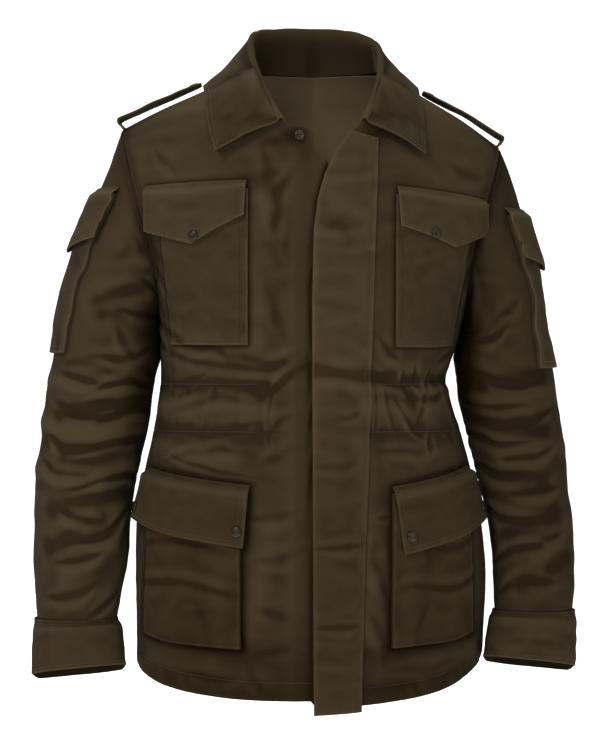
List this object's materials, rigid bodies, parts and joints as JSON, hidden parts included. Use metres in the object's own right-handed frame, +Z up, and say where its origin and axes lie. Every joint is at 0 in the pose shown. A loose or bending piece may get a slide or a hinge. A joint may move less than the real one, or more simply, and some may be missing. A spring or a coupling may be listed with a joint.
{
  "type": "field jacket",
  "caption": "Hollow open-necked field jacket with folded collar, flapped patch pockets, bellows hip pockets, sleeve pockets and shoulder straps.",
  "frame": {"origin": "middle of the neck opening, level with the wearer's shoulder line, where the shoulders carry the jacket", "axes": "+Z up from hem to collar, -Y towards the front, +X towards the wearer's left arm"},
  "size_m": [0.6562, 0.2608, 0.8323],
  "materials": {
    "twill": "matte washed cotton twill",
    "flap_twill": "matte cotton twill, two layers, a shade lighter",
    "pocket_twill": "matte cotton twill, a shade darker",
    "fastener": "blackened, glossy"
  },
  "bodies": {
    "root": {"back": "twill", "collar": "twill", "storm_flap": "flap_twill", "neck_button": "fastener", "front_right": "twill", "sleeve_right": "twill", "cuff_right": "twill", "chest_pocket_right": "twill", "chest_flap_right": "flap_twill", "chest_snap_right": "fastener", "lower_pocket_right": "pocket_twill", "lower_flap_right": "flap_twill", "lower_snap_inner_right": "fastener", "lower_snap_outer_right": "fastener", "sleeve_pocket_right": "twill", "sleeve_flap_right": "flap_twill", "epaulet_right": "twill", "epaulet_button_right": "fastener", "front_left": "twill", "sleeve_left": "twill", "cuff_left": "twill", "chest_pocket_left": "twill", "chest_flap_left": "flap_twill", "chest_snap_left": "fastener", "lower_pocket_left": "pocket_twill", "lower_flap_left": "flap_twill", "lower_snap_inner_left": "fastener", "lower_snap_outer_left": "fastener", "sleeve_pocket_left": "twill", "sleeve_flap_left": "flap_twill", "epaulet_left": "twill", "epaulet_button_left": "fastener"}
  },
  "joints": []
}
